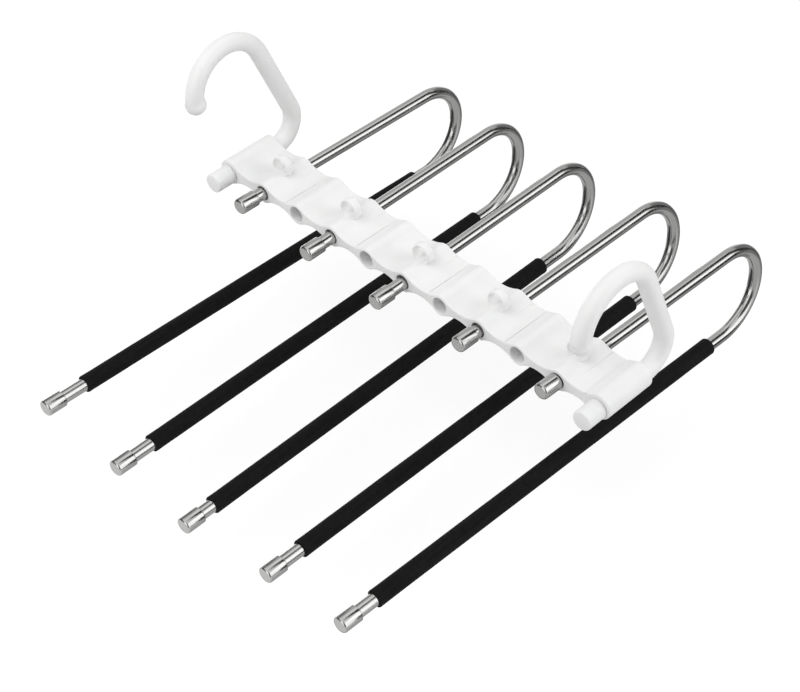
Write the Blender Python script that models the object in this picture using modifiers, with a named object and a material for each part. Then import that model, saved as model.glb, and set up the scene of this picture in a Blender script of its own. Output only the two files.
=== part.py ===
"""Five-bar trouser hanger that hangs under a wardrobe rail.

A white moulded spine carries five U-bent steel bars, which swing from it, and a swivelling hook at
each end. The world origin is where the rail bears on the hooks, midway between them: +X runs along
the spine, +Y along the bars towards their bends, +Z up.
"""

import math

import bmesh
import bpy
from mathutils import Matrix

# Fits
SEAT_GAP = 0.0003  # between solids that touch
ROD_PLAY = 0.0009  # radial, tube in its bore
CUT_MARGIN = 0.002  # how far a cutter runs past the face that it cuts

# Spine moulding
ROD_COUNT = 5
PITCH = 0.064  # rod to rod
SPINE_DEPTH = 0.040  # along the rods
BARREL_WALL = 0.0024  # round a rod's bore
SLEEVE_WALL = 0.0030  # round a hook's journal
WEB_TOP = 0.0034  # height of the web over the bores' axis, at its lowest
WEB_BOTTOM = 0.0026  # and its depth under that axis
SPARE_BORE_RADIUS = 0.0057
MOUTH_FLARE = 0.0007  # radial, at both ends of a rod's bore
EDGE_ROUND = 0.0010
EYELET_RADIUS = 0.0065  # of the ring's centre line
EYELET_WALL = 0.0020  # across the ring's band
EYELET_DEPTH = 0.0062  # of the band, along the rods
EYELET_SINK = 0.0036  # of the ring, into the barrel that carries it
EYELET_OFFSET = -0.0010  # from the rod's axis, along the spine
CREASE_OFFSET = 0.0097  # from the barrel's axis to the edge of the relief beside it
CREASE_DEPTH = 0.0009  # at the rear face
CREASE_START = 0.006  # from the front face, where the relief runs out
CREASE_WIDTH = 0.012
CREASE_TILT = math.radians(1.6)

# Rods, each with a cap on both ends and a foam sleeve
TUBE_RADIUS = 0.0043
TUBE_WALL = 0.0007
BAR_DROP = 0.0662  # from the upper arm's axis to the lower arm's
UPPER_ARM = 0.1608  # from the cap's rear edge to the bend
LOWER_ARM = 0.3448  # from the bend to the free cap's face
CAP_WALL = 0.0009
CAP_LENGTH = 0.0140
CAP_FACE = 0.0020  # thickness of the closed end
CAP_ROUND = 0.0010
CAP_RIM = 0.0009  # width of the raised rim round the face
CAP_DISH = 0.0004  # depth of the face inside that rim
BARE_FRONT = 0.0148  # bare tube between the free cap and the foam
BARE_REAR = 0.0125  # bare tube between the foam and the bend
FOAM_WALL = 0.0012
FOAM_ROUND = 0.0008
FOAM_SLIDES = (0.0029, 0.0010, -0.0051, 0.0, -0.0009)  # how far each sleeve is pushed towards the bend
ROD_PULLS = (0.0067, 0.0095, 0.0113, 0.0039, 0.0)  # how far each rod is drawn forward from its stop
ROD_SWINGS = (-0.9, -2.7, -3.8, -6.2, -3.8)  # degrees about +Y that each rod hangs from plumb
ROD_YAWS = (-0.19, 0.46, 0.17, -0.31, -0.77)  # skew about +Z, as a share of what the play allows
ROD_PITCHES = (-0.46, -0.14, 0.33, 0.27, 0.19)  # and about +X

# Hooks
HOOK_RADIUS = 0.0062
JOURNAL_DROP = 0.0010  # of the hooks' axis, under the rods'
SHOULDER_STEP = 0.0006  # from the journal in the sleeve up to the hook's own radius
SHOULDER_LENGTH = 0.0003  # clear of the neck's bend
NECK_RADIUS = 0.0178
NECK_TURN = math.radians(112.5)
LIMB_LENGTH = 0.0564
CROWN_RADIUS = 0.0297
CROWN_TURN = math.radians(150.2)
TIP_LENGTH = 0.004  # from the crown to the middle of the round tip
TIP_SWELL = 0.0009  # of the tip over the rest of the hook
PEG_WALL = 0.0009
PEG_LENGTH = 0.015
PEG_FACE = 0.0025
PEG_ROUND = 0.0011
HOOK_LEANS = {"left": -4.4, "right": -0.6}  # degrees about +Y that each hook leans from upright

# Facets
ARC_STEP = math.radians(15)  # along outlines
BEND_STEP = math.radians(18)  # along bent rods
ROUND_SIDES = 16
BORE_SIDES = 20
RING_SIDES = 20
WIRE_SIDES = 8
TIP_STEPS = 4
ROUND_STEPS = 2  # along a rounded edge
EDGE_SEGMENTS = 1  # across the spine's rounded edges
EDGE_ANGLE = math.radians(60)  # edges sharper than this are rounded
SHARP_ANGLE = math.radians(40)
WELD = 0.00001

# Colours, as red, green, blue, roughness and metallic value
FINISHES = {
    "white_plastic": (0.86, 0.86, 0.85, 0.38, 0.0),
    "stainless_steel": (0.62, 0.62, 0.61, 0.18, 1.0),
    "black_foam": (0.012, 0.012, 0.013, 0.92, 0.0),
}

HALF_PITCH = PITCH / 2
BORE_RADIUS = TUBE_RADIUS + ROD_PLAY
BARREL_RADIUS = BORE_RADIUS + BARREL_WALL
TUBE_SEAT = TUBE_RADIUS + SEAT_GAP  # bore of what is pushed over a tube
CAP_RADIUS = TUBE_SEAT + CAP_WALL
FOAM_RADIUS = TUBE_SEAT + FOAM_WALL
JOURNAL_RADIUS = HOOK_RADIUS - SHOULDER_STEP
JOURNAL_SEAT = JOURNAL_RADIUS + SEAT_GAP
SLEEVE_RADIUS = JOURNAL_SEAT + SLEEVE_WALL
PEG_RADIUS = JOURNAL_SEAT + PEG_WALL
TIP_RADIUS = HOOK_RADIUS + TIP_SWELL
HOOK_SIDES = (("left", -1), ("right", 1))
TO_REAR = (-math.pi / 2, 0.0, 0.0)  # turns a piece's own Z to +Y
OUTLINE_TURN = (math.pi / 2, 0.0, 0.0)  # stands a flat outline up in the XZ plane


def clear_scene():
    for item in list(bpy.data.objects):
        bpy.data.objects.remove(item, do_unlink=True)


def make_collection(name):
    collection = bpy.data.collections.new(name)
    bpy.context.scene.collection.children.link(collection)
    return collection


def make_material(name):
    red, green, blue, roughness, metallic = FINISHES[name]
    material = bpy.data.materials.new(name)
    material.use_nodes = True
    shader = material.node_tree.nodes["Principled BSDF"]
    shader.inputs["Base Color"].default_value = (red, green, blue, 1.0)
    shader.inputs["Roughness"].default_value = roughness
    shader.inputs["Metallic"].default_value = metallic
    return material


def add_object(name, data, collection, parent, location=(0, 0, 0), rotation=(0, 0, 0)):
    item = bpy.data.objects.new(name, data)
    item.location = location
    item.rotation_euler = rotation
    item.parent = parent
    collection.objects.link(item)
    return item


def add_part(name, data, finish, parent, location=(0, 0, 0), rotation=(0, 0, 0)):
    data.materials.append(MATERIALS[finish])
    return add_object(name, data, PARTS, parent, location, rotation)


def add_cutter(name, data, collection, location, rotation=(0, 0, 0)):
    item = add_object(name, data, collection, HANGER, location, rotation)
    item.hide_render = True
    item.display_type = "WIRE"
    return item


def add_boolean(item, operation, collection):
    modifier = item.modifiers.new(operation.title(), "BOOLEAN")
    modifier.operation = operation
    modifier.operand_type = "COLLECTION"
    modifier.collection = collection
    modifier.solver = "EXACT"


def smooth(mesh):
    mesh.shade_smooth()
    mesh.set_sharp_from_angle(angle=SHARP_ANGLE)


def arc(center, radius, start, end, step=ARC_STEP):
    """Points of an arc about center, both ends included."""
    count = max(1, math.ceil(abs(end - start) / step))
    angles = [start + (end - start) * i / count for i in range(count + 1)]
    return [(center[0] + radius * math.cos(a), center[1] + radius * math.sin(a)) for a in angles]


def rounded(corner, radius, start):
    """A quarter round that ends start minus 90 degrees, inside a corner of a turned profile."""
    center = (corner[0] - radius, corner[1] - radius * math.copysign(1, math.sin(start - math.pi / 4)))
    return arc(center, radius, start, start - math.pi / 2, math.pi / 2 / ROUND_STEPS)


def walk(start, heading, moves):
    """Centre line of a bent rod in its own plane, from (length,) and (bend radius, turn) moves."""
    points = [start]
    for move in moves:
        x, y = points[-1]
        if len(move) == 1:
            points.append((x + move[0] * math.cos(heading), y + move[0] * math.sin(heading)))
            continue
        radius, turn = move
        side = math.copysign(math.pi / 2, turn)
        center = (x + radius * math.cos(heading + side), y + radius * math.sin(heading + side))
        points += arc(center, radius, heading - side, heading - side + turn, BEND_STEP)[1:]
        heading += turn
    return points, heading


def turned(name, profile, sides, closed=False):
    """Mesh turned about its own Z from (radius, height) points that run down its outer side."""
    mesh = bpy.data.meshes.new(name)
    edges = [(i, i + 1) for i in range(len(profile) - 1)]
    if closed:
        edges.append((len(profile) - 1, 0))
    mesh.from_pydata([(radius, 0.0, height) for radius, height in profile], edges, [])
    item = bpy.data.objects.new(name, mesh)
    PARTS.objects.link(item)
    screw = item.modifiers.new("Screw", "SCREW")
    screw.steps = sides
    screw.render_steps = sides
    screw.use_merge_vertices = True
    screw.merge_threshold = WELD
    result = applied(item)
    smooth(result)
    return result


def applied(item):
    """The evaluated mesh of a helper object, which is removed, with loose seams welded."""
    graph = bpy.context.evaluated_depsgraph_get()
    mesh = bpy.data.meshes.new_from_object(item.evaluated_get(graph))
    mesh.name = item.name
    bpy.data.objects.remove(item, do_unlink=True)
    work = bmesh.new()
    work.from_mesh(mesh)
    bmesh.ops.remove_doubles(work, verts=work.verts, dist=WELD)
    bmesh.ops.recalc_face_normals(work, faces=work.faces)
    work.to_mesh(mesh)
    work.free()
    return mesh


def rod_curve(name, points, radii, capped):
    """Round rod of ROUND_SIDES sides along (y, z) points, with a radius at each."""
    curve = bpy.data.curves.new(name, "CURVE")
    curve.dimensions = "3D"
    curve.bevel_depth = radii[0]
    curve.bevel_resolution = ROUND_SIDES // 2 - 2
    curve.use_fill_caps = capped
    spline = curve.splines.new("POLY")
    spline.points.add(len(points) - 1)
    for place, (y, z), radius in zip(spline.points, points, radii):
        place.co = (0.0, y, z, 1.0)
        place.radius = radius / radii[0]
    return curve


def valley_radius(drop):
    """Radius of the hollow between two rod barrels that leaves a web this far from the axis."""
    quarter = HALF_PITCH / 2
    return (quarter**2 + drop**2 - BARREL_RADIUS**2) / (2 * (BARREL_RADIUS - drop))


def stations():
    """Axis position and barrel radius of every barrel along the spine."""
    places = []
    for i in range(2 * ROD_COUNT + 1):
        at_end = i in (0, 2 * ROD_COUNT)
        places.append(((i - ROD_COUNT) * HALF_PITCH, SLEEVE_RADIUS if at_end else BARREL_RADIUS))
    return places


def spine_side(drop):
    """Upper edge of the outline from end to end: barrel crests joined by tangent hollows."""
    hollow = valley_radius(drop)
    places = stations()
    points = []
    start = math.pi
    for (x, radius), (_, next_radius) in zip(places, places[1:]):
        reach = radius + hollow
        next_reach = next_radius + hollow
        along = (reach**2 - next_reach**2 + HALF_PITCH**2) / (2 * HALF_PITCH)
        rise = math.sqrt(reach**2 - along**2)
        leave = math.atan2(rise, along)
        meet = math.atan2(rise, along - HALF_PITCH)
        points += arc((x, 0.0), radius, start, leave)[:-1]
        points += arc((x + along, rise), hollow, leave + math.pi, meet + math.pi)[:-1]
        start = meet
    last_x, last_radius = places[-1]
    return points + arc((last_x, 0.0), last_radius, start, 0.0)


def spine_blank():
    """The wavy outline, as deep as the spine, with rounded front and rear edges."""
    top = spine_side(WEB_TOP)
    bottom = [(x, -z) for x, z in reversed(spine_side(WEB_BOTTOM))]
    outline = top + bottom[1:-1]
    curve = bpy.data.curves.new("spine", "CURVE")
    curve.dimensions = "2D"
    curve.fill_mode = "BOTH"
    curve.extrude = SPINE_DEPTH / 2
    spline = curve.splines.new("POLY")
    spline.points.add(len(outline) - 1)
    for place, (x, z) in zip(spline.points, outline):
        place.co = (x, z, 0.0, 1.0)
    spline.use_cyclic_u = True
    helper = bpy.data.objects.new("spine", curve)
    PARTS.objects.link(helper)
    return applied(helper)


def bore_mesh(name, radius, flare):
    """Cutter for a through bore whose mouths open by flare."""
    front = -SPINE_DEPTH / 2
    rear = SPINE_DEPTH / 2
    outer = radius + flare
    profile = [(0.0, rear + CUT_MARGIN), (outer, rear + CUT_MARGIN)]
    if flare:
        profile += [(outer, rear), (radius, rear - flare), (radius, front + flare), (outer, front)]
    profile += [(outer, front - CUT_MARGIN), (0.0, front - CUT_MARGIN)]
    return turned(name, profile, BORE_SIDES)


def rod_places():
    return [(i - (ROD_COUNT - 1) / 2) * PITCH for i in range(ROD_COUNT)]


def spare_places():
    return [x + HALF_PITCH for x in rod_places()[:-1]]


def web_height(offset):
    """Height of the web's top at this distance from a spare barrel's axis."""
    hollow = valley_radius(WEB_TOP)
    return WEB_TOP + hollow - math.sqrt(hollow**2 - (offset - HALF_PITCH / 2) ** 2)


def crease_mesh():
    """Shallow wedge whose floor falls towards the barrel and the rear."""
    work = bmesh.new()
    bmesh.ops.create_cube(work, size=1.0)
    length = SPINE_DEPTH + 2 * CUT_MARGIN
    bmesh.ops.scale(work, vec=(CREASE_WIDTH, length, 2 * CUT_MARGIN), verts=work.verts)
    bmesh.ops.translate(work, vec=(-CREASE_WIDTH / 2, 0.0, CUT_MARGIN), verts=work.verts)
    mesh = bpy.data.meshes.new("crease")
    work.to_mesh(mesh)
    work.free()
    return mesh


def add_creases():
    """Reliefs beside the spare barrels and the right sleeve, on the side of the left hook."""
    fall = CREASE_DEPTH / (SPINE_DEPTH - CREASE_START)
    middle_depth = fall * (SPINE_DEPTH / 2 - CREASE_START)
    mesh = crease_mesh()
    for i, x in enumerate(spare_places() + [hook_place(1)]):
        place = (x - CREASE_OFFSET, SPINE_DEPTH / 2, web_height(CREASE_OFFSET) - middle_depth)
        add_cutter(f"crease_{i + 1}", mesh, CREASES, place, (-math.atan(fall), CREASE_TILT, 0.0))


def add_eyelets():
    """Rings on top of the rod barrels, each a broad round-edged band."""
    height = BARREL_RADIUS - EYELET_SINK + EYELET_RADIUS + EYELET_WALL / 2
    broaden = Matrix.Diagonal((1.0, 1.0, EYELET_DEPTH / EYELET_WALL, 1.0))
    for i, x in enumerate(rod_places()):
        bpy.ops.mesh.primitive_torus_add(
            major_radius=EYELET_RADIUS,
            minor_radius=EYELET_WALL / 2,
            major_segments=RING_SIDES,
            minor_segments=WIRE_SIDES,
        )
        ring = bpy.context.object
        mesh = ring.data
        bpy.data.objects.remove(ring, do_unlink=True)
        mesh.transform(broaden)
        smooth(mesh)
        place = (x + EYELET_OFFSET, SPINE_DEPTH / 2, height)
        add_cutter(f"eyelet_{i + 1}", mesh, EYELETS, place, OUTLINE_TURN)


def add_bores():
    """Bores for the rods and the hooks' journals, and the spare ones between the rods."""
    middle = SPINE_DEPTH / 2
    rod_bore = bore_mesh("rod_bore", BORE_RADIUS, MOUTH_FLARE)
    spare_bore = bore_mesh("spare_bore", SPARE_BORE_RADIUS, 0.0)
    hook_bore = bore_mesh("hook_bore", JOURNAL_SEAT, 0.0)
    for i, x in enumerate(rod_places()):
        add_cutter(f"rod_bore_{i + 1}", rod_bore, BORES, (x, middle, 0.0), TO_REAR)
    for i, x in enumerate(spare_places()):
        add_cutter(f"spare_bore_{i + 1}", spare_bore, BORES, (x, middle, 0.0), TO_REAR)
    for name, side in HOOK_SIDES:
        place = (hook_place(side), middle, -JOURNAL_DROP)
        add_cutter(f"hook_bore_{name}", hook_bore, BORES, place, TO_REAR)


def add_spine():
    mesh = spine_blank()
    smooth(mesh)
    spine = add_part("spine", mesh, "white_plastic", HANGER, (0.0, SPINE_DEPTH / 2, 0.0), OUTLINE_TURN)
    bevel = spine.modifiers.new("Bevel", "BEVEL")
    bevel.width = EDGE_ROUND
    bevel.segments = EDGE_SEGMENTS
    bevel.limit_method = "ANGLE"
    bevel.angle_limit = EDGE_ANGLE
    add_creases()
    add_eyelets()
    add_bores()
    add_boolean(spine, "DIFFERENCE", CREASES)
    add_boolean(spine, "UNION", EYELETS)
    add_boolean(spine, "DIFFERENCE", BORES)


def tube_mesh():
    """Hollow U-bent tube in a rod's own frame, whose Y is 0 at the upper cap's rear edge."""
    inside = CAP_FACE + SEAT_GAP
    start = (-CAP_LENGTH + inside, 0.0)
    upper = UPPER_ARM - start[0]
    points, _ = walk(start, 0.0, [(upper,), (BAR_DROP / 2, -math.pi), (LOWER_ARM - inside,)])
    curve = rod_curve("rod_tube", points, [TUBE_RADIUS] * len(points), capped=False)
    helper = bpy.data.objects.new("rod_tube", curve)
    PARTS.objects.link(helper)
    mesh = applied(helper)
    smooth(mesh)
    return mesh


def cap_mesh():
    """Cup that fits over a tube's end, with its closed face at height 0 and its rim above."""
    face = CAP_RADIUS - CAP_ROUND - CAP_RIM
    profile = [(0.0, CAP_FACE), (TUBE_SEAT, CAP_FACE), (TUBE_SEAT, CAP_LENGTH)]
    profile += [(CAP_RADIUS - CAP_DISH, CAP_LENGTH), (CAP_RADIUS, CAP_LENGTH - CAP_DISH)]
    profile += rounded((CAP_RADIUS, 0.0), CAP_ROUND, 0.0)
    profile += [(face, 0.0), (face - CAP_DISH, CAP_DISH), (0.0, CAP_DISH)]
    return turned("tube_cap", profile, ROUND_SIDES)


def foam_mesh():
    """Foam sleeve with soft edges, from height 0."""
    length = LOWER_ARM - CAP_LENGTH - BARE_FRONT - BARE_REAR
    profile = rounded((FOAM_RADIUS, length), FOAM_ROUND, math.pi / 2)
    profile += rounded((FOAM_RADIUS, 0.0), FOAM_ROUND, 0.0)
    profile += [(TUBE_SEAT, 0.0), (TUBE_SEAT, length)]
    return turned("foam_sleeve", profile, ROUND_SIDES, closed=True)


def add_rod_pivot(index, x):
    """Empty on the upper arm's axis, midway through the spine, turned as the rod hangs."""
    swing = math.radians(ROD_SWINGS[index % len(ROD_SWINGS)])
    yaw_share = ROD_YAWS[index % len(ROD_YAWS)]
    pitch_share = ROD_PITCHES[index % len(ROD_PITCHES)]
    slack = ROD_PLAY - SEAT_GAP
    full_skew = math.atan(slack / (SPINE_DEPTH / 2))
    seat = -slack * (1.0 - math.hypot(yaw_share, pitch_share))
    place = (x, SPINE_DEPTH / 2, seat)
    turn = (pitch_share * full_skew, swing, yaw_share * full_skew)
    return add_object(f"rod_pivot_{index + 1}", None, PARTS, HANGER, place, turn)


def add_rods():
    """Each rod hangs from its own pivot, with its upper arm low in its bore."""
    tube = tube_mesh()
    cap = cap_mesh()
    foam = foam_mesh()
    free_face = UPPER_ARM - LOWER_ARM
    foam_front = free_face + CAP_LENGTH + BARE_FRONT
    for i, x in enumerate(rod_places()):
        number = i + 1
        pivot = add_rod_pivot(i, x)
        stop = -SPINE_DEPTH / 2 - SEAT_GAP - ROD_PULLS[i % len(ROD_PULLS)]
        item = add_part(f"rod_tube_{number}", tube.copy(), "stainless_steel", pivot, (0.0, stop, 0.0))
        shell = item.modifiers.new("Solidify", "SOLIDIFY")
        shell.thickness = TUBE_WALL
        shell.offset = -1.0
        upper_face = (0.0, stop - CAP_LENGTH, 0.0)
        lower_face = (0.0, stop + free_face, -BAR_DROP)
        slide = FOAM_SLIDES[i % len(FOAM_SLIDES)]
        sleeve_end = (0.0, stop + foam_front + slide, -BAR_DROP)
        add_part(f"arm_end_cap_{number}", cap.copy(), "stainless_steel", pivot, upper_face, TO_REAR)
        add_part(f"free_end_cap_{number}", cap.copy(), "stainless_steel", pivot, lower_face, TO_REAR)
        add_part(f"foam_sleeve_{number}", foam.copy(), "black_foam", pivot, sleeve_end, TO_REAR)


def hook_place(side):
    return side * ROD_COUNT * HALF_PITCH


def hook_route(with_crown=True):
    """Centre line of the hook from its shoulder, behind the sleeve, along neck, limb and crown."""
    lead = SHOULDER_LENGTH + HOOK_RADIUS * math.sin(BEND_STEP / 2)
    moves = [(lead,), (NECK_RADIUS, NECK_TURN), (LIMB_LENGTH,)]
    if with_crown:
        moves.append((CROWN_RADIUS, CROWN_TURN))
    return walk((SPINE_DEPTH + SEAT_GAP, 0.0), 0.0, moves)


def rail_place():
    """Where the rail bears under the crown, in the hook's own plane."""
    points, heading = hook_route(with_crown=False)
    y, z = points[-1]
    center_y = y - CROWN_RADIUS * math.sin(heading)
    center_z = z + CROWN_RADIUS * math.cos(heading)
    return center_y, center_z + CROWN_RADIUS - HOOK_RADIUS


def tip_route(start, heading):
    """Round tip that swells towards the inside of the hook, as (y, z) points and radii."""
    places = []
    for share in (0.5, 1.0):
        places.append((TIP_LENGTH * share, HOOK_RADIUS + TIP_SWELL * share, TIP_SWELL * share))
    for step in range(1, TIP_STEPS + 1):
        angle = math.pi / 2 * step / (TIP_STEPS + 0.5)
        along = TIP_LENGTH + TIP_RADIUS * math.sin(angle)
        places.append((along, TIP_RADIUS * math.cos(angle), TIP_SWELL))
    inward = heading + math.pi / 2
    points = []
    for along, _, shift in places:
        y = start[0] + along * math.cos(heading) + shift * math.cos(inward)
        z = start[1] + along * math.sin(heading) + shift * math.sin(inward)
        points.append((y, z))
    return points, [radius for _, radius, _ in places]


def hook_curve():
    """Hook in its own frame, whose Y is 0 at the spine's front face."""
    journal_end = SPINE_DEPTH + SEAT_GAP / 2
    points = [(PEG_FACE - PEG_LENGTH, 0.0), (journal_end, 0.0)]
    radii = [JOURNAL_RADIUS, JOURNAL_RADIUS]
    body, heading = hook_route()
    points += body
    radii += [HOOK_RADIUS] * len(body)
    tip, tip_radii = tip_route(body[-1], heading)
    return rod_curve("hook", points + tip, radii + tip_radii, capped=True)


def peg_mesh():
    """Cup over the front end of a hook's journal, with its face at height 0."""
    profile = [(0.0, PEG_FACE), (JOURNAL_SEAT, PEG_FACE), (JOURNAL_SEAT, PEG_LENGTH)]
    profile += [(PEG_RADIUS, PEG_LENGTH)]
    profile += rounded((PEG_RADIUS, 0.0), PEG_ROUND, 0.0)
    profile += [(0.0, 0.0)]
    return turned("hook_end_cap", profile, ROUND_SIDES)


def add_hooks():
    curve = hook_curve()
    peg = peg_mesh()
    for name, side in HOOK_SIDES:
        place = (hook_place(side), 0.0, -JOURNAL_DROP)
        lean = math.radians(HOOK_LEANS[name])
        pivot = add_object(f"hook_pivot_{name}", None, PARTS, HANGER, place, (0.0, lean, 0.0))
        add_part(f"hook_{name}", curve.copy(), "white_plastic", pivot)
        peg_face = (0.0, -PEG_LENGTH - SEAT_GAP, 0.0)
        add_part(f"hook_end_cap_{name}", peg.copy(), "white_plastic", pivot, peg_face, TO_REAR)


clear_scene()
PARTS = make_collection("trouser_hanger")
CREASES = make_collection("cutters_creases")
EYELETS = make_collection("cutters_eyelets")
BORES = make_collection("cutters_bores")
MATERIALS = {name: make_material(name) for name in FINISHES}
RAIL_Y, RAIL_Z = rail_place()
HANGER = add_object("hanger", None, PARTS, None, (0.0, -RAIL_Y, JOURNAL_DROP - RAIL_Z))
add_spine()
add_rods()
add_hooks()
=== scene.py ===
"""Looks of the five-bar trouser hanger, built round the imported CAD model.

Every piece is made in its own frame from named sizes, put where its CAD node is, and rides on that
node's body. The floor, the cards and screens that the steel mirrors, and the lamps are the stage.
"""

import math

import bmesh
import bpy
from mathutils import Euler, Matrix, Vector, noise


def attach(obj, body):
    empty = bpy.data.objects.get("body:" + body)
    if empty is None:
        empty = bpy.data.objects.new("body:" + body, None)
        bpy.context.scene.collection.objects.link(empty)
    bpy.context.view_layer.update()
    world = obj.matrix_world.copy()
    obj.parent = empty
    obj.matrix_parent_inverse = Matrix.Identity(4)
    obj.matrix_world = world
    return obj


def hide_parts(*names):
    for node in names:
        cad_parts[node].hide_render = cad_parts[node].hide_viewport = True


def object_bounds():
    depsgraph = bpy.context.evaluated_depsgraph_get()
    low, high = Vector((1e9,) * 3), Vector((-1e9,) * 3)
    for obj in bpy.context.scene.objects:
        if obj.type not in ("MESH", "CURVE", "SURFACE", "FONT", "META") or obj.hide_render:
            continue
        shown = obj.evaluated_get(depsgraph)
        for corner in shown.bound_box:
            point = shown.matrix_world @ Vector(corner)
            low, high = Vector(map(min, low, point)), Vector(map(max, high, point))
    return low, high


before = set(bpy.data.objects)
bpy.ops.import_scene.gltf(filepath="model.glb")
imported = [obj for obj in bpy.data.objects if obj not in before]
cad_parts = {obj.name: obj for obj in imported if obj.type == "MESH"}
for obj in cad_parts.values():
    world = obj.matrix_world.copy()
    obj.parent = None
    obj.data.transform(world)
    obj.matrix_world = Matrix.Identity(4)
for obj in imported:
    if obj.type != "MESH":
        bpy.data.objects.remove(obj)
CAD_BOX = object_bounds()

# Fits
SEAT_GAP = 0.0003
ROD_PLAY = 0.0009
SKIN_GAP = 0.00004  # between pieces that grip each other
CUT_MARGIN = 0.002

# Spine
ROD_COUNT = 5
PITCH = 0.064
HALF_PITCH = PITCH / 2
SPINE_DEPTH = 0.040
WEB_TOP = 0.0034
WEB_BOTTOM = 0.0026
SPARE_BORE_RADIUS = 0.0057
BARREL_WALL = 0.0024
SLEEVE_WALL = 0.0030
MOUTH_FLARE = 0.0003  # round of the bores' mouths
EDGE_ROUND = 0.0010
EYELET_RADIUS = 0.0065
EYELET_WALL = 0.0020
EYELET_DEPTH = 0.0062
EYELET_SINK = 0.0036
EYELET_OFFSET = -0.0010
EYELET_FLARE = 0.25  # how much thicker the band gets at its foot
EYELET_FULLNESS = 0.75  # power that rounds the band's section, where 1 is an ellipse
CREASE_OFFSET = 0.0097
CREASE_DEPTH = 0.0009
CREASE_START = 0.006
CREASE_WIDTH = 0.012
CREASE_TILT = math.radians(1.6)
GROOVE_WIDTH = 0.0007  # of the line along a crease's step
GROOVE_DEPTH = 0.0006

# Rods
TUBE_RADIUS = 0.0043
TUBE_WALL = 0.0007
BAR_DROP = 0.0662
UPPER_ARM = 0.1608
LOWER_ARM = 0.3448
CAP_WALL = 0.0009
CAP_LENGTH = 0.0140
CAP_FACE = 0.0020
CAP_ROUND = 0.0016
CAP_FLAT_EDGE = 0.0002  # keeps the face's shading flat up to its round
CAP_MOUTH_ROUND = 0.0006
BARE_FRONT = 0.0148
BARE_REAR = 0.0125
FOAM_WALL = 0.0012
FOAM_ROUND = 0.0008
FOAM_SWELL = 0.00012  # of the cut ends
FOAM_SWELL_REACH = 0.004
FOAM_LUMP = 0.00006
FOAM_LUMP_SIZE = (0.006, 0.006, 0.016)
FOAM_SEED_STEP = (17.3, 0.0, 5.1)  # from one sleeve to the next in the noise
FOAM_SLIDES = (0.0029, 0.0010, -0.0051, 0.0, -0.0009)
ROD_PULLS = (0.0067, 0.0095, 0.0113, 0.0039, 0.0)  # towards the front, from the cap's stop
ROD_SWINGS = (-0.9, -2.7, -3.8, -6.2, -3.8)  # degrees
ROD_YAWS = (-0.19, 0.46, 0.17, -0.31, -0.77)  # shares of the most skew that the bore allows
ROD_PITCHES = (-0.46, -0.14, 0.33, 0.27, 0.19)  # the same

# Hooks
HOOK_RADIUS = 0.0062
JOURNAL_DROP = 0.0010
SHOULDER_STEP = 0.0006
SHOULDER_LENGTH = 0.0003
NECK_RADIUS = 0.0178
NECK_TURN = math.radians(112.5)
LIMB_LENGTH = 0.0564
CROWN_RADIUS = 0.0297
CROWN_TURN = math.radians(150.2)
TIP_LENGTH = 0.004
TIP_SWELL = 0.0009
PEG_WALL = 0.0009
PEG_LENGTH = 0.015
PEG_FACE = 0.0025
PEG_ROUND = 0.0011
PEG_MOUTH_ROUND = 0.0003
HOOK_LEANS = {"left": -4.4, "right": -0.6}  # degrees
HOOK_SIDES = (("left", -1), ("right", 1))
CAD_BEND_STEP = math.radians(18)  # of the solids' hooks, whose first ring leans by half of it

# Sizes that follow
BORE_RADIUS = TUBE_RADIUS + ROD_PLAY
BARREL_RADIUS = BORE_RADIUS + BARREL_WALL
CAP_RADIUS = TUBE_RADIUS + SEAT_GAP + CAP_WALL
FOAM_RADIUS = TUBE_RADIUS + SEAT_GAP + FOAM_WALL
GRIP_RADIUS = TUBE_RADIUS + SKIN_GAP
JOURNAL_RADIUS = HOOK_RADIUS - SHOULDER_STEP
JOURNAL_SEAT = JOURNAL_RADIUS + SEAT_GAP
SLEEVE_RADIUS = JOURNAL_SEAT + SLEEVE_WALL
PEG_RADIUS = JOURNAL_SEAT + PEG_WALL
TIP_RADIUS = HOOK_RADIUS + TIP_SWELL

# Stage and camera
FLOOR_HEIGHT = -0.196
FLOOR_HALF = 12.0
FLOOR_BOUNCE = 0.8  # for the light that it throws up
FLOOR_ALBEDO = 0.27
FLOOR_GLOW = 0.77
WORLD_LEVEL = 0.55
LAMP_DISTANCE = 1.25
SCREEN_RADIUS = 4.0
SCREEN_LAYER = 0.02  # from one screen out to the next, so that the first lie in front
SCREEN_STEP = 5.0  # in degrees, of a screen's facets
SCREENS = {  # west and east edge in degrees from +Y towards +X, low and high edge, brightness
    "dark_top": (3, 41, 42, 72, 0.02),
    "dark_line": (42, 67, -18, 8, 0.03),
    "dark_back": (15, 38, -10, 42, 0.05),
    "dark_low": (-2, 22, -30, -10, 0.12),
    "dim_back": (-20, 15, -16, 30, 0.28),
    "bright_corner": (45, 67, 8, 46, 2.15),
    "bright_right": (67, 98, -7, 46, 1.90),
    "pale_right": (60, 98, -30, -7, 0.85),
    "dim_right": (22, 60, -30, 2, 0.28),
    "dark_right": (104, 148, -6, 58, 0.09),
    "bright_front": (156, 192, -4, 40, 1.80),
    "dark_left": (-166, -110, -66, 34, 0.06),
    "bright_left": (-88, -54, -34, -2, 1.90),
    "pale_left": (-54, -24, -33, -2, 1.25),
    "dim_left": (-110, -60, -45, 45, 0.30),
    "bright_top": (-46, 4, 46, 66, 1.20),
    "grey_left": (-60, 15, -4, 47, 0.70),
    "dim_below": (-24, 36, -62, -31, 0.25),
    "grey_below": (-180, 180, -90, -4, 0.62),
}
FACE_CARDS = {  # spans in X and Y, height and brightness of what the caps' faces mirror
    "lower_face_card": ((-0.35, 0.35), (-1.30, -0.206), -0.195, 0.98),
    "upper_face_card": ((-0.21, 0.13), (-0.088, -0.042), -0.130, 0.74),
}
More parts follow.
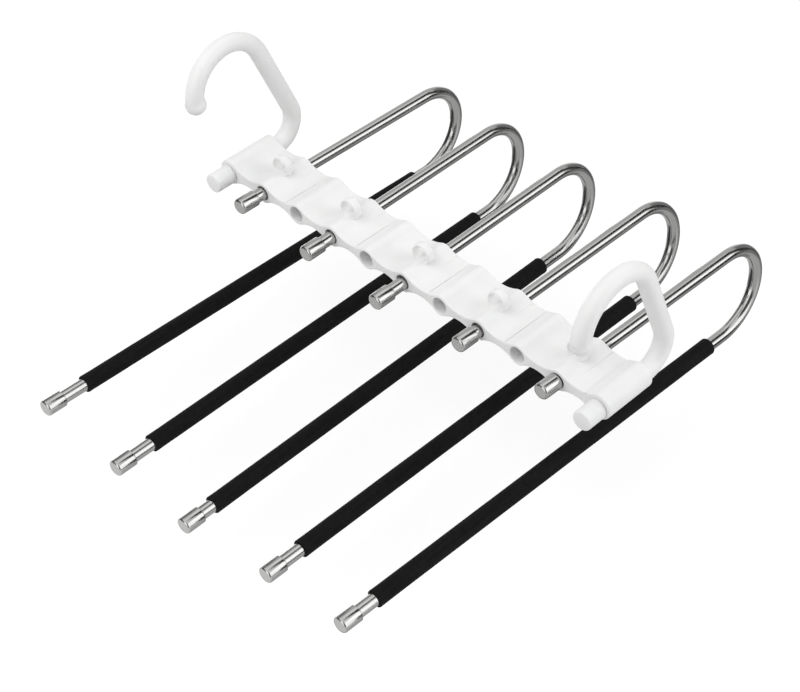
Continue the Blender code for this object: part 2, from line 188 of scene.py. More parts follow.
SOFTBOX = {"toward": (0.848, 0.643, 0.530), "size": (0.85, 1.30), "level": 2.0}
FILL = {"toward": (-0.30, -0.50, 0.81), "size": (1.60, 1.40), "level": 1.6}
CAMERA_LENS = 92.67
CAMERA_SENSOR = 36.0
CAMERA_PLACE = (0.67543, -0.7, 0.85114)  # from the spine's front middle
CAMERA_TURN = (math.radians(47.043), 0.0, math.radians(44.061))

RAMP_SPAN = (0.3, 0.7)  # where most of a noise lies

# Mesh fineness
ARC_STEP = math.radians(5)
BEND_STEP = math.radians(4)
ROUND_STEPS = 5
ROUND_STEP = math.pi / 2 / ROUND_STEPS
TUBE_SIDES = 48
CAP_SIDES = 64
FOAM_SIDES = 48
FOAM_STEP = 0.0022
HOOK_FACETS = 48
STRAIGHT_STEP = 0.012
TIP_STEPS = 12
BORE_SIDES = 56
RING_SIDES = 56
WIRE_SIDES = 20
SHARP_ANGLE = math.radians(38)
RELIEF_MATCH = math.cos(math.radians(0.5))  # between the normals of a relief's faces

TO_REAR = Matrix.Rotation(-math.pi / 2, 4, "X")  # lays a turned piece's own Z along +Y


# Outlines and paths


def arc(center, radius, start, end, step=ARC_STEP):
    """Points of an arc about center, both ends included."""
    count = max(1, math.ceil(abs(end - start) / step))
    angles = [start + (end - start) * i / count for i in range(count + 1)]
    return [(center[0] + radius * math.cos(a), center[1] + radius * math.sin(a)) for a in angles]


def rounded(corner, radius, start):
    """A quarter round inside a corner of a turned profile, from the angle start down by 90 degrees."""
    center = (corner[0] - radius, corner[1] - radius * math.copysign(1, math.sin(start - math.pi / 4)))
    return arc(center, radius, start, start - math.pi / 2, ROUND_STEP)


def straight(start, end, step=STRAIGHT_STEP):
    """Points after start up to end, evenly apart."""
    count = max(1, math.ceil(math.dist(start, end) / step))
    return [
        (start[0] + (end[0] - start[0]) * i / count, start[1] + (end[1] - start[1]) * i / count)
        for i in range(1, count + 1)
    ]


def walk(start, heading, moves):
    """Centre line of a bent rod in its own plane, from (length,) and (bend radius, turn) moves."""
    points = [start]
    for move in moves:
        x, y = points[-1]
        if len(move) == 1:
            end = (x + move[0] * math.cos(heading), y + move[0] * math.sin(heading))
            points += straight((x, y), end)
            continue
        radius, turn = move
        side = math.copysign(math.pi / 2, turn)
        center = (x + radius * math.cos(heading + side), y + radius * math.sin(heading + side))
        points += arc(center, radius, heading - side, heading - side + turn, BEND_STEP)[1:]
        heading += turn
    return points, heading


# Meshes


def mesh_of(name, verts, faces, flow=None):
    """Closed mesh with outward normals. flow holds each point's place as if its rod were straight."""
    mesh = bpy.data.meshes.new(name)
    mesh.from_pydata(verts, [], faces)
    if flow:
        layer = mesh.attributes.new("flow", "FLOAT_VECTOR", "POINT")
        layer.data.foreach_set("vector", [c for place in flow for c in place])
    work = bmesh.new()
    work.from_mesh(mesh)
    bmesh.ops.recalc_face_normals(work, faces=work.faces)
    work.to_mesh(mesh)
    work.free()
    mesh.shade_smooth()
    mesh.set_sharp_from_angle(angle=SHARP_ANGLE)
    return mesh


def skin(name, rings, closed):
    """Mesh over rings of (points, flow places). A ring of one point is a pole."""
    verts, flow, faces, starts = [], [], [], []
    for points, places in rings:
        starts.append((len(verts), len(points)))
        verts += points
        flow += places
    pairs = list(zip(starts, starts[1:]))
    if closed:
        pairs.append((starts[-1], starts[0]))
    for (a, count_a), (b, count_b) in pairs:
        sides = max(count_a, count_b)
        for i in range(sides):
            j = (i + 1) % sides
            corners = [a + i % count_a, a + j % count_a, b + j % count_b, b + i % count_b]
            faces.append(list(dict.fromkeys(corners)))
    return mesh_of(name, verts, faces, flow)


def turned(name, profile, sides, closed=False):
    """Mesh turned about its own Z from (radius, height) points."""
    rings = []
    for radius, height in profile:
        if radius <= 0:
            rings.append(([(0.0, 0.0, height)], [(0.0, 0.0, height)]))
            continue
        turns = [2 * math.pi * i / sides for i in range(sides)]
        ring = [(radius * math.cos(a), radius * math.sin(a), height) for a in turns]
        rings.append((ring, ring))
    return skin(name, rings, closed)


def swept_rings(points, radii, sides):
    """Rings round a path of (y, z) points in the YZ plane, each square to the path."""
    rings = []
    length = 0.0
    for i, (y, z) in enumerate(points):
        before = points[max(0, i - 1)]
        after = points[min(len(points) - 1, i + 1)]
        if i:
            length += math.dist(points[i - 1], (y, z))
        heading = math.atan2(after[1] - before[1], after[0] - before[0])
        up = (-math.sin(heading), math.cos(heading))
        radius = radii[i]
        if radius <= 0:
            rings.append(([(0.0, y, z)], [(0.0, 0.0, length)]))
            continue
        ring, places = [], []
        for k in range(sides):
            turn = 2 * math.pi * k / sides
            across, rise = radius * math.cos(turn), radius * math.sin(turn)
            ring.append((across, y + up[0] * rise, z + up[1] * rise))
            places.append((across, rise, length))
        rings.append((ring, places))
    return rings


# Pieces in place


def place_piece(name, mesh, matrix, body, slot, node):
    """A new piece that stands for a CAD node and rides on its body."""
    mesh.materials.clear()
    mesh.materials.append(MATERIALS[slot])
    item = bpy.data.objects.new(name, mesh)
    bpy.context.scene.collection.objects.link(item)
    item.matrix_world = matrix
    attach(item, body)
    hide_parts(node)
    return item


# Spine


def valley_radius(drop):
    """Radius of the hollow that joins two barrels and leaves the web this high between them."""
    quarter = HALF_PITCH / 2
    return (quarter**2 + drop**2 - BARREL_RADIUS**2) / (2 * (BARREL_RADIUS - drop))


def stations():
    """Place and radius of every barrel, from left to right."""
    places = []
    for i in range(2 * ROD_COUNT + 1):
        at_end = i in (0, 2 * ROD_COUNT)
        places.append(((i - ROD_COUNT) * HALF_PITCH, SLEEVE_RADIUS if at_end else BARREL_RADIUS))
    return places


def spine_side(drop):
    """Upper edge of the outline: barrel crests joined by tangent hollows."""
    hollow = valley_radius(drop)
    places = stations()
    points = []
    start = math.pi
    for (x, radius), (_, next_radius) in zip(places, places[1:]):
        reach = radius + hollow
        next_reach = next_radius + hollow
        along = (reach**2 - next_reach**2 + HALF_PITCH**2) / (2 * HALF_PITCH)
        rise = math.sqrt(reach**2 - along**2)
        leave = math.atan2(rise, along)
        meet = math.atan2(rise, along - HALF_PITCH)
        points += arc((x, 0.0), radius, start, leave)[:-1]
        points += arc((x + along, rise), hollow, leave + math.pi, meet + math.pi)[:-1]
        start = meet
    last_x, last_radius = places[-1]
    return points + arc((last_x, 0.0), last_radius, start, 0.0)


def spine_blank():
    """Wavy slab in the XZ plane, centred on its depth, with rounded front and rear edges."""
    top = spine_side(WEB_TOP)
    bottom = [(x, -z) for x, z in reversed(spine_side(WEB_BOTTOM))]
    outline = top + bottom[1:-1]
    count = len(outline)
    normals = []
    for i in range(count):
        (ax, az), (bx, bz) = outline[i - 1], outline[(i + 1) % count]
        span = math.dist((ax, az), (bx, bz))
        normals.append(((az - bz) / span, (bx - ax) / span))
    rings = []
    for side in (-1, 1):
        turns = [math.pi / 2 * i / ROUND_STEPS for i in range(ROUND_STEPS + 1)]
        for turn in turns if side < 0 else reversed(turns):
            inset = EDGE_ROUND * (1 - math.sin(turn))
            depth = side * (SPINE_DEPTH / 2 - EDGE_ROUND + EDGE_ROUND * math.cos(turn))
            rings.append(
                [(x - nx * inset, depth, z - nz * inset) for (x, z), (nx, nz) in zip(outline, normals)]
            )
    verts = [point for ring in rings for point in ring]
    faces = [list(range(count)), [len(verts) - 1 - i for i in range(count)]]
    for k in range(len(rings) - 1):
        for i in range(count):
            j = (i + 1) % count
            faces.append([k * count + i, k * count + j, (k + 1) * count + j, (k + 1) * count + i])
    return mesh_of("spine_blank", verts, faces)


def bore_mesh(name, radius):
    """Cutter for a through bore with rounded mouths."""
    half = SPINE_DEPTH / 2
    end = half + CUT_MARGIN
    outer = radius + MOUTH_FLARE
    profile = [(0.0, end), (outer, end), (outer, half)]
    profile += arc((outer, half - MOUTH_FLARE), MOUTH_FLARE, math.pi / 2, math.pi, ROUND_STEP)[1:]
    profile += arc((outer, MOUTH_FLARE - half), MOUTH_FLARE, math.pi, 1.5 * math.pi, ROUND_STEP)
    profile += [(outer, -end), (0.0, -end)]
    return turned(name, profile, BORE_SIDES)


def rounder(share):
    """Side of a superellipse, fuller than a circle's."""
    return math.copysign(abs(share) ** EYELET_FULLNESS, share)


def ring_mesh():
    """Eyelet ring in the XZ plane whose band thickens where it runs into the barrel."""
    rings = []
    for k in range(RING_SIDES):
        turn = 2 * math.pi * k / RING_SIDES
        low = max(0.0, -math.sin(turn)) ** 2
        flare = 1.0 + EYELET_FLARE * low
        out = (math.cos(turn), math.sin(turn))
        ring = []
        for i in range(WIRE_SIDES):
            spin = 2 * math.pi * i / WIRE_SIDES
            reach = EYELET_RADIUS + flare * EYELET_WALL / 2 * rounder(math.cos(spin))
            depth = flare * EYELET_DEPTH / 2 * rounder(math.sin(spin))
            ring.append((reach * out[0], depth, reach * out[1]))
        rings.append((ring, ring))
    return skin("eyelet", rings, closed=True)


def crease_mesh():
    """Shallow wedge whose floor falls towards the barrel and the rear, with a groove along its step."""
    half = SPINE_DEPTH / 2 + CUT_MARGIN
    top = 2 * CUT_MARGIN
    section = [(-CREASE_WIDTH, 0.0), (-GROOVE_WIDTH, 0.0), (-GROOVE_WIDTH, -GROOVE_DEPTH)]
    section += [(0.0, -GROOVE_DEPTH), (0.0, top), (-CREASE_WIDTH, top)]
    count = len(section)
    verts = [(x, y, z) for y in (-half, half) for x, z in section]
    faces = [tuple(range(count)), tuple(range(2 * count - 1, count - 1, -1))]
    faces += [(k, k + count, (k + 1) % count + count, (k + 1) % count) for k in range(count)]
    return mesh_of("crease", verts, faces)


def web_height(offset):
    """Height of the upper hollow at this distance from a barrel's axis."""
    hollow = valley_radius(WEB_TOP)
    return WEB_TOP + hollow - math.sqrt(hollow**2 - (offset - HALF_PITCH / 2) ** 2)


def rod_places():
    return [(i - (ROD_COUNT - 1) / 2) * PITCH for i in range(ROD_COUNT)]


def spare_places():
    return [x + HALF_PITCH for x in rod_places()[:-1]]


def hook_place(side):
    return side * ROD_COUNT * HALF_PITCH


def tool(collection, mesh, location, turn=Matrix.Identity(4)):
    """A helper that shapes the spine and is removed after."""
    item = bpy.data.objects.new(mesh.name, mesh)
    collection.objects.link(item)
    item.matrix_world = Matrix.Translation(location) @ turn
    return item


def shaped(blank, steps):
    """The blank after booleans, each of (operation, tools)."""
    item = bpy.data.objects.new("spine_work", blank)
    bpy.context.scene.collection.objects.link(item)
    helpers = [item]
    groups = []
    for operation, tools in steps:
        group = bpy.data.collections.new("spine_tools")
        bpy.context.scene.collection.children.link(group)
        groups.append(group)
        helpers += [tool(group, *entry) for entry in tools]
        modifier = item.modifiers.new(operation.title(), "BOOLEAN")
        modifier.operation = operation
        modifier.operand_type = "COLLECTION"
        modifier.collection = group
        modifier.solver = "EXACT"
    graph = bpy.context.evaluated_depsgraph_get()
    mesh = bpy.data.meshes.new_from_object(item.evaluated_get(graph))
    for helper in helpers:
        bpy.data.objects.remove(helper, do_unlink=True)
    for group in groups:
        bpy.data.collections.remove(group)
    return mesh


def sharpen_reliefs(mesh, normal):
    """Crisp edges round the flat reliefs, whose faces share this normal."""
    work = bmesh.new()
    work.from_mesh(mesh)
    for edge in work.edges:
        flat_sides = [face.normal.dot(normal) > RELIEF_MATCH for face in edge.link_faces]
        if any(flat_sides) and not all(flat_sides):
            edge.smooth = False
    work.to_mesh(mesh)
    work.free()


def spine_mesh():
    """The blank with its creases, eyelets and bores."""
    fall = CREASE_DEPTH / (SPINE_DEPTH - CREASE_START)
    middle_depth = fall * (SPINE_DEPTH / 2 - CREASE_START)
    crease_turn = Euler((-math.atan(fall), CREASE_TILT, 0.0)).to_matrix().to_4x4()
    crease_height = web_height(CREASE_OFFSET) - middle_depth
    crease = crease_mesh()
    creases = [
        (crease, (x - CREASE_OFFSET, 0.0, crease_height), crease_turn)
        for x in spare_places() + [hook_place(1)]
    ]
    ring = ring_mesh()
    ring_height = BARREL_RADIUS - EYELET_SINK + EYELET_RADIUS + EYELET_WALL / 2
    eyelets = [(ring, (x + EYELET_OFFSET, 0.0, ring_height)) for x in rod_places()]
    rod_bore = bore_mesh("rod_bore", BORE_RADIUS)
    spare_bore = bore_mesh("spare_bore", SPARE_BORE_RADIUS)
    hook_bore = bore_mesh("hook_bore", JOURNAL_SEAT)
    bores = [(rod_bore, (x, 0.0, 0.0), TO_REAR) for x in rod_places()]
    bores += [(spare_bore, (x, 0.0, 0.0), TO_REAR) for x in spare_places()]
    bores += [(hook_bore, (hook_place(side), 0.0, -JOURNAL_DROP), TO_REAR) for _, side in HOOK_SIDES]
    mesh = shaped(spine_blank(), [("DIFFERENCE", creases), ("UNION", eyelets), ("DIFFERENCE", bores)])
    mesh.name = "spine_moulding"
    mesh.shade_smooth()
    mesh.set_sharp_from_angle(angle=SHARP_ANGLE)
    sharpen_reliefs(mesh, crease_turn.to_3x3() @ Vector((0.0, 0.0, 1.0)))
    return mesh


def add_spine():
    middle = HANGER @ Matrix.Translation((0.0, SPINE_DEPTH / 2, 0.0))
    item = place_piece("spine_moulding", spine_mesh(), middle, "spine", "white_plastic", "spine")
    weigh = item.modifiers.new("Weighted normals", "WEIGHTED_NORMAL")
    weigh.keep_sharp = True


# Rods


def tube_mesh():
    """Hollow U-bent tube whose Y is 0 at the upper cap's rear edge."""
    inside = CAP_FACE + SEAT_GAP
    start = (-CAP_LENGTH + inside, 0.0)
    upper = UPPER_ARM - start[0]
    points, _ = walk(start, 0.0, [(upper,), (BAR_DROP / 2, -math.pi), (LOWER_ARM - inside,)])
    outer = swept_rings(points, [TUBE_RADIUS] * len(points), TUBE_SIDES)
    inner = swept_rings(points, [TUBE_RADIUS - TUBE_WALL] * len(points), TUBE_SIDES)
    return skin("bent_tube", outer + inner[::-1], closed=True)


def cap_mesh():
    """Steel cup over a tube's end, with its closed face at height 0."""
    face = CAP_RADIUS - CAP_ROUND - CAP_FLAT_EDGE
    profile = [(0.0, CAP_FACE), (GRIP_RADIUS, CAP_FACE), (GRIP_RADIUS, CAP_LENGTH)]
    profile += rounded((CAP_RADIUS, CAP_LENGTH), CAP_MOUTH_ROUND, math.pi / 2)
    profile += rounded((CAP_RADIUS, 0.0), CAP_ROUND, 0.0)
    profile += [(face, 0.0), (0.0, 0.0)]
    return turned("tube_cap", profile, CAP_SIDES)


def foam_mesh(seed):
    """Foam sleeve that is a little uneven along its length and soft at its cut ends."""
    length = LOWER_ARM - CAP_LENGTH - BARE_FRONT - BARE_REAR
    outline = [(GRIP_RADIUS, length)] + rounded((FOAM_RADIUS, length), FOAM_ROUND, math.pi / 2)
    outline += straight(outline[-1], (FOAM_RADIUS, FOAM_ROUND), FOAM_STEP)[:-1]
    outline += rounded((FOAM_RADIUS, 0.0), FOAM_ROUND, 0.0)
    outline.append((GRIP_RADIUS, 0.0))
    mesh = turned("foam_sleeve", outline, FOAM_SIDES, closed=True)
    seed_shift = Vector([seed * step for step in FOAM_SEED_STEP])
    for vert in mesh.vertices:
        radius = math.hypot(vert.co.x, vert.co.y)
        if radius <= GRIP_RADIUS + SKIN_GAP:
            continue
        near_end = min(vert.co.z, length - vert.co.z)
        swell = FOAM_SWELL * math.exp(-near_end / FOAM_SWELL_REACH)
        place = Vector([c / size for c, size in zip(vert.co, FOAM_LUMP_SIZE)])
        lump = FOAM_LUMP * noise.noise(place + seed_shift)
        share = (radius - GRIP_RADIUS) / (FOAM_RADIUS - GRIP_RADIUS)
        grow = 1 + (swell + lump - FOAM_LUMP) * share / radius
        vert.co.x *= grow
        vert.co.y *= grow
    return mesh


def rod_matrix(index, x):
    """The rod's own frame: on the upper arm's axis, midway through the spine."""
    slack = ROD_PLAY - SEAT_GAP
    full_skew = math.atan(slack / (SPINE_DEPTH / 2))
    yaw, pitch = ROD_YAWS[index], ROD_PITCHES[index]
    seat = -slack * (1.0 - math.hypot(yaw, pitch))
    turn = Euler((pitch * full_skew, math.radians(ROD_SWINGS[index]), yaw * full_skew)).to_matrix().to_4x4()
    return HANGER @ Matrix.Translation((x, SPINE_DEPTH / 2, seat)) @ turn


def add_rods():
    tube = tube_mesh()
    cap = cap_mesh()
    free_face = UPPER_ARM - LOWER_ARM
    foam_front = free_face + CAP_LENGTH + BARE_FRONT
    for i, x in enumerate(rod_places()):
        number = i + 1
        body = f"rod_{number}"
        rod = rod_matrix(i, x)
        stop = -SPINE_DEPTH / 2 - SEAT_GAP - ROD_PULLS[i]
        at_stop = rod @ Matrix.Translation((0.0, stop, 0.0))
        upper_cap = rod @ Matrix.Translation((0.0, stop - CAP_LENGTH, 0.0)) @ TO_REAR
        lower_cap = rod @ Matrix.Translation((0.0, stop + free_face, -BAR_DROP)) @ TO_REAR
        sleeve = rod @ Matrix.Translation((0.0, stop + foam_front + FOAM_SLIDES[i], -BAR_DROP)) @ TO_REAR
        steel_pieces = (
            ("tube", tube, at_stop, "rod_tube"),
            ("upper_cap", cap, upper_cap, "arm_end_cap"),
            ("free_cap", cap, lower_cap, "free_end_cap"),
        )
        for name, mesh, matrix, node in steel_pieces:
            piece_name = f"{name}_{number}"
            place_piece(piece_name, mesh.copy(), matrix, body, "stainless_steel", f"{node}_{number}")
        foam = place_piece(
            f"foam_{number}", foam_mesh(number), sleeve, body, "black_foam", f"foam_sleeve_{number}"
        )


# Hooks


def hook_route(with_crown=True):
    """Centre line from the spine's rear face to the crown's end, and the heading there."""
    lead = SHOULDER_LENGTH + HOOK_RADIUS * math.sin(CAD_BEND_STEP / 2)
    moves = [(lead,), (NECK_RADIUS, NECK_TURN), (LIMB_LENGTH,)]
    if with_crown:
        moves.append((CROWN_RADIUS, CROWN_TURN))
    return walk((SPINE_DEPTH + SEAT_GAP, 0.0), 0.0, moves)


def rail_place():
    """Where the rail bears under the crown, in the hook's own plane."""
    points, heading = hook_route(with_crown=False)
    y, z = points[-1]
    center_y = y - CROWN_RADIUS * math.sin(heading)
    center_z = z + CROWN_RADIUS * math.cos(heading)
    return center_y, center_z + CROWN_RADIUS - HOOK_RADIUS


def tip_route(start, heading):
    """Round tip that swells towards the inside of the hook."""
    places = []
    for step in range(1, TIP_STEPS + 1):
        share = step / TIP_STEPS
        ease = share * share * (3 - 2 * share)
        places.append((TIP_LENGTH * share, HOOK_RADIUS + TIP_SWELL * ease, TIP_SWELL * ease))
    for step in range(1, TIP_STEPS + 1):
        angle = math.pi / 2 * step / TIP_STEPS
        radius = TIP_RADIUS * math.cos(angle) if step < TIP_STEPS else 0.0
        places.append((TIP_LENGTH + TIP_RADIUS * math.sin(angle), radius, TIP_SWELL))
    inward = heading + math.pi / 2
    points = [
        (
            start[0] + along * math.cos(heading) + shift * math.cos(inward),
            start[1] + along * math.sin(heading) + shift * math.sin(inward),
        )
        for along, _, shift in places
    ]
    return points, [radius for _, radius, _ in places]


def hook_mesh():
    """Hook whose Y is 0 at the spine's front face."""
    front = (PEG_FACE - PEG_LENGTH, 0.0)
    points = [front, front] + straight(front, (SPINE_DEPTH + SEAT_GAP / 2, 0.0))
    radii = [0.0] + [JOURNAL_RADIUS] * (len(points) - 1)
    body, heading = hook_route()
    points += body
    radii += [HOOK_RADIUS - SHOULDER_STEP / 2] + [HOOK_RADIUS] * (len(body) - 1)
    tip, tip_radii = tip_route(body[-1], heading)
    rings = swept_rings(points + tip, radii + tip_radii, HOOK_FACETS)
    return skin("hook_moulding", rings, closed=False)


def peg_mesh():
    """Cup over the front end of a hook's journal, with its face at height 0."""
    grip = JOURNAL_RADIUS + SKIN_GAP
    profile = [(0.0, PEG_FACE), (grip, PEG_FACE), (grip, PEG_LENGTH)]
    profile += rounded((PEG_RADIUS, PEG_LENGTH), PEG_MOUTH_ROUND, math.pi / 2)
    profile += rounded((PEG_RADIUS, 0.0), PEG_ROUND, 0.0)
    profile += [(0.0, 0.0)]
    return turned("hook_peg", profile, CAP_SIDES)


def add_hooks():
    hook = hook_mesh()
    peg = peg_mesh()
    for name, side in HOOK_SIDES:
        body = f"{name}_hook"
        lean = Matrix.Rotation(math.radians(HOOK_LEANS[name]), 4, "Y")
        pivot = HANGER @ Matrix.Translation((hook_place(side), 0.0, -JOURNAL_DROP)) @ lean
        face = pivot @ Matrix.Translation((0.0, -PEG_LENGTH - SEAT_GAP, 0.0)) @ TO_REAR
        place_piece(f"{name}_hook_moulding", hook.copy(), pivot, body, "white_plastic", f"hook_{name}")
        place_piece(f"{name}_hook_peg", peg.copy(), face, body, "white_plastic", f"hook_end_cap_{name}")


# Materials


def grey(level):
    return (level, level, level, 1.0)


class Tree:
    """A material's or world's nodes, added and linked by short calls."""

    def __init__(self, owner):
        owner.use_nodes = True
        self.tree = owner.node_tree
        self.tree.nodes.clear()

    def add(self, kind, inputs=None, **settings):
        node = self.tree.nodes.new(kind)
        for key, value in settings.items():
            setattr(node, key, value)
        for key, value in (inputs or {}).items():
            socket = node.inputs[key]
            if isinstance(value, bpy.types.NodeSocket):
                self.tree.links.new(value, socket)
            else:
                socket.default_value = value
        return node

    def blend(self, factor, low, high, span=RAMP_SPAN):
        """From low to high, each a colour or a grey level, over a span of the factor."""
        node = self.add("ShaderNodeValToRGB", {"Fac": factor})
        for point, at, value in zip(node.color_ramp.elements, span, (low, high)):
            point.position = at
            point.color = (*value, 1.0) if isinstance(value, tuple) else grey(value)
        return node.outputs["Color"]

    def noise(self, vector, scale, detail=2.0):
        node = self.add("ShaderNodeTexNoise", {"Vector": vector, "Scale": scale, "Detail": detail})
        return node.outputs["Fac"]

    def streaks(self, flow, across, along):
        """Noise drawn out along a rod, finer across it than along it."""
        node = self.add("ShaderNodeMapping", {"Vector": flow, "Scale": (across, across, along)})
        return self.noise(node.outputs["Vector"], scale=1.0)

    def bump(self, height, strength, distance, normal=None):
        inputs = {"Height": height, "Strength": strength, "Distance": distance}
        if normal is not None:
            inputs["Normal"] = normal
        return self.add("ShaderNodeBump", inputs).outputs["Normal"]

    def finish(self, shader):
        self.add("ShaderNodeOutputMaterial", {"Surface": shader})


def plastic_material():
    """Milky moulded polypropylene, satin, with a fine mould texture."""
    material = bpy.data.materials.new("white_moulded_plastic")
    tree = Tree(material)
    place = tree.add("ShaderNodeTexCoord").outputs["Object"]
    cloud = tree.noise(place, scale=55.0, detail=3.0)
    grain = tree.noise(place, scale=2600.0)
    ripple = tree.noise(place, scale=140.0)
    colour = tree.blend(cloud, low=(0.800, 0.803, 0.800), high=(0.835, 0.836, 0.832))
    rough = tree.blend(ripple, low=0.36, high=0.46)
    normal = tree.bump(grain, strength=0.08, distance=0.00004)
    normal = tree.bump(ripple, strength=0.10, distance=0.00012, normal=normal)
    shader = tree.add(
        "ShaderNodeBsdfPrincipled",
        {
            "Base Color": colour,
            "Roughness": rough,
            "Normal": normal,
            "IOR": 1.49,
            "Subsurface Weight": 0.18,
            "Subsurface Radius": (1.0, 0.95, 0.88),
            "Subsurface Scale": 0.0035,
        },
    )
    tree.finish(shader.outputs["BSDF"])
    return material


def steel_material():
    """Polished stainless with fine drawing lines along the rod."""
    material = bpy.data.materials.new("polished_stainless")
    tree = Tree(material)
    flow = tree.add("ShaderNodeAttribute", attribute_name="flow").outputs["Vector"]
    lines = tree.streaks(flow, across=1800.0, along=9.0)
    broad = tree.streaks(flow, across=900.0, along=22.0)
    haze = tree.noise(flow, scale=90.0, detail=3.0)
    colour = tree.blend(broad, low=(0.470, 0.468, 0.462), high=(0.545, 0.543, 0.537), span=(0.25, 0.75))
    rough = tree.blend(haze, low=0.15, high=0.20)
    normal = tree.bump(lines, strength=0.05, distance=0.00001)
    shader = tree.add(
        "ShaderNodeBsdfPrincipled",
        {"Base Color": colour, "Metallic": 1.0, "Roughness": rough, "Normal": normal},
    )
    tree.finish(shader.outputs["BSDF"])
    return material


def foam_material():
    """Matt black closed-cell foam with a fine skin of cells."""
    material = bpy.data.materials.new("black_cell_foam")
    tree = Tree(material)
    flow = tree.add("ShaderNodeAttribute", attribute_name="flow").outputs["Vector"]
    cells = tree.add("ShaderNodeTexVoronoi", {"Vector": flow, "Scale": 2300.0}).outputs["Distance"]
    cloud = tree.noise(flow, scale=320.0, detail=3.0)
    drag = tree.streaks(flow, across=420.0, along=26.0)
    colour = tree.blend(cloud, low=(0.0026, 0.0028, 0.0027), high=(0.0052, 0.0055, 0.0053))
    rough = tree.blend(drag, low=0.72, high=0.90)
    normal = tree.bump(cells, strength=0.35, distance=0.00008)
    normal = tree.bump(cloud, strength=0.20, distance=0.00015, normal=normal)
    shader = tree.add(
        "ShaderNodeBsdfPrincipled",
        {"Base Color": colour, "Roughness": rough, "Normal": normal, "Specular IOR Level": 0.20},
    )
    tree.finish(shader.outputs["BSDF"])
    return material


# Stage


def seen_directly(tree):
    """1 for rays that show the background: from the camera, a reflection or a clear piece."""
    path = tree.add("ShaderNodeLightPath").outputs
    shown = path["Is Camera Ray"]
    for kind in ("Is Glossy Ray", "Is Transmission Ray"):
        shown = tree.add("ShaderNodeMath", {0: shown, 1: path[kind]}, operation="MAXIMUM").outputs[0]
    return shown


def add_world():
    world = bpy.data.worlds.new("studio")
    tree = Tree(world)
    shown = seen_directly(tree)
    dim = tree.add("ShaderNodeBackground", {"Color": grey(1.0), "Strength": WORLD_LEVEL})
    white = tree.add("ShaderNodeBackground", {"Color": grey(1.0), "Strength": 1.0})
    mixed = tree.add("ShaderNodeMixShader", {0: shown, 1: dim.outputs[0], 2: white.outputs[0]})
    tree.add("ShaderNodeOutputWorld", {"Surface": mixed.outputs[0]})
    bpy.context.scene.world = world


def floor_material():
    """White floor that keeps soft shadows."""
    material = bpy.data.materials.new("white_floor")
    tree = Tree(material)
    shown = seen_directly(tree)
    plain = tree.add("ShaderNodeBsdfDiffuse", {"Color": grey(FLOOR_BOUNCE)})
    pale = tree.add("ShaderNodeBsdfDiffuse", {"Color": grey(FLOOR_ALBEDO)})
    glow = tree.add("ShaderNodeEmission", {"Color": grey(1.0), "Strength": FLOOR_GLOW})
    lit = tree.add("ShaderNodeAddShader", {0: pale.outputs[0], 1: glow.outputs[0]})
    mixed = tree.add("ShaderNodeMixShader", {0: shown, 1: plain.outputs[0], 2: lit.outputs[0]})
    tree.finish(mixed.outputs[0])
    return material


def screen_material(brightness):
    """Cloth that shines evenly in reflections and lights nothing."""
    material = bpy.data.materials.new("screen_cloth")
    tree = Tree(material)
    place = tree.add("ShaderNodeTexCoord").outputs["Object"]
    weave = tree.noise(place, scale=3.0)
    colour = tree.blend(weave, low=0.9, high=1.0)
    tree.finish(tree.add("ShaderNodeEmission", {"Color": colour, "Strength": brightness}).outputs[0])
    material.cycles.emission_sampling = "NONE"
    return material


def add_card(name, verts, faces, material):
    mesh = bpy.data.meshes.new(name)
    mesh.from_pydata(verts, [], faces)
    mesh.materials.append(material)
    item = bpy.data.objects.new(name, mesh)
    bpy.context.scene.collection.objects.link(item)
    return item


def only_reflected(card):
    """Hides a card from all but reflections."""
    card.visible_camera = False
    card.visible_diffuse = False
    card.visible_transmission = False
    card.visible_shadow = False


def flat(x_span, y_span, height):
    """Corners of a level card."""
    west, east = x_span
    front, back = y_span
    return [(west, front, height), (east, front, height), (east, back, height), (west, back, height)]


def add_floor():
    """Floor, hidden from reflections, and the cards that stand for it where the caps' faces mirror it."""
    reach = (-FLOOR_HALF, FLOOR_HALF)
    floor = add_card("floor", flat(reach, reach, FLOOR_HEIGHT), [(0, 1, 2, 3)], floor_material())
    floor.visible_glossy = False
    for name, (x_span, y_span, height, brightness) in FACE_CARDS.items():
        cloth = screen_material(brightness)
        only_reflected(add_card(name, flat(x_span, y_span, height), [(0, 1, 2, 3)], cloth))


def spread(first, last):
    """Angles from first to last, at most a screen's step apart."""
    count = math.ceil((last - first) / SCREEN_STEP)
    return [math.radians(first + (last - first) * i / count) for i in range(count + 1)]


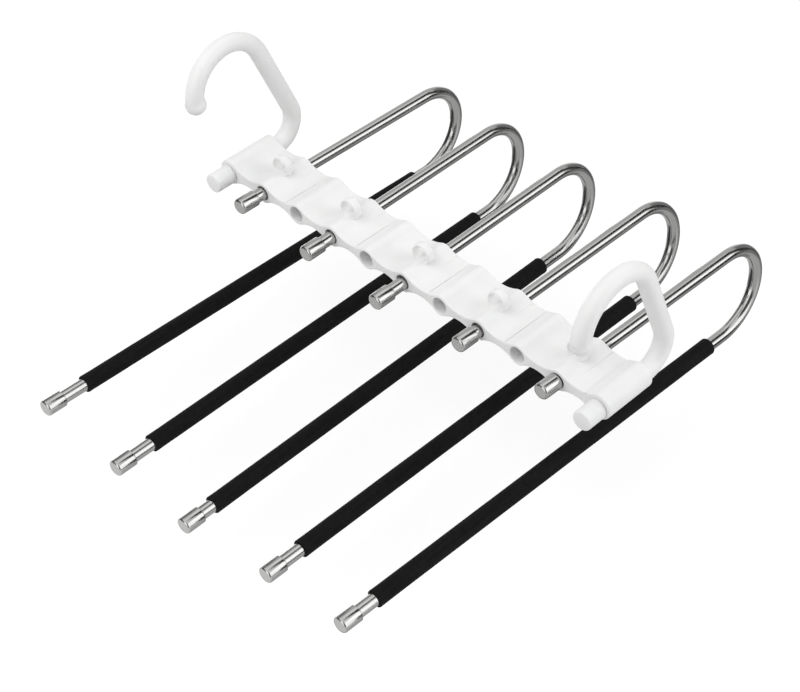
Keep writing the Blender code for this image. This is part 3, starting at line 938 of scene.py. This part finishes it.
def add_screens():
    """Patches of a wide shell, seen only in reflections, which draw the streaks on the steel."""
    for layer, (name, (west, east, low, high, brightness)) in enumerate(SCREENS.items()):
        reach = SCREEN_RADIUS + SCREEN_LAYER * layer
        turns, lifts = spread(west, east), spread(low, high)
        verts = [
            OBJECT_MIDDLE
            + reach * Vector((math.sin(a) * math.cos(e), math.cos(a) * math.cos(e), math.sin(e)))
            for a in turns
            for e in lifts
        ]
        rows = len(lifts)
        faces = [
            (k * rows + i, k * rows + i + 1, (k + 1) * rows + i + 1, (k + 1) * rows + i)
            for k in range(len(turns) - 1)
            for i in range(rows - 1)
        ]
        only_reflected(add_card(name, verts, faces, screen_material(brightness)))


def add_lamp(name, toward, size, level):
    """Soft rectangular lamp whose face has this radiance, where 1 is white."""
    out = Vector(toward).normalized()
    along = Vector((0.0, 1.0, 0.0))
    along = (along - out * along.dot(out)).normalized()
    across = along.cross(out)
    lamp = bpy.data.lights.new(name, "AREA")
    lamp.shape = "RECTANGLE"
    lamp.size, lamp.size_y = size
    lamp.energy = level * math.pi * lamp.size * lamp.size_y
    item = bpy.data.objects.new(name, lamp)
    bpy.context.scene.collection.objects.link(item)
    turn = Matrix((across, along, out)).transposed().to_4x4()
    item.matrix_world = Matrix.Translation(OBJECT_MIDDLE + out * LAMP_DISTANCE) @ turn
    item.visible_camera = False
    item.visible_glossy = False


def add_camera():
    data = bpy.data.cameras.new("camera")
    data.lens = CAMERA_LENS
    data.sensor_width = CAMERA_SENSOR
    data.sensor_fit = "HORIZONTAL"
    camera = bpy.data.objects.new("camera", data)
    bpy.context.scene.collection.objects.link(camera)
    camera.location = HANGER.translation + Vector(CAMERA_PLACE)
    camera.rotation_euler = CAMERA_TURN
    bpy.context.scene.camera = camera


RAIL_Y, RAIL_Z = rail_place()
HANGER = Matrix.Translation((0.0, -RAIL_Y, JOURNAL_DROP - RAIL_Z))
OBJECT_MIDDLE = (CAD_BOX[0] + CAD_BOX[1]) / 2
MATERIALS = {
    "white_plastic": plastic_material(),
    "stainless_steel": steel_material(),
    "black_foam": foam_material(),
}

add_camera()
add_spine()
add_rods()
add_hooks()
add_world()
add_floor()
add_screens()
add_lamp("softbox", **SOFTBOX)
add_lamp("fill", **FILL)
bpy.context.scene.view_settings.view_transform = "Standard"
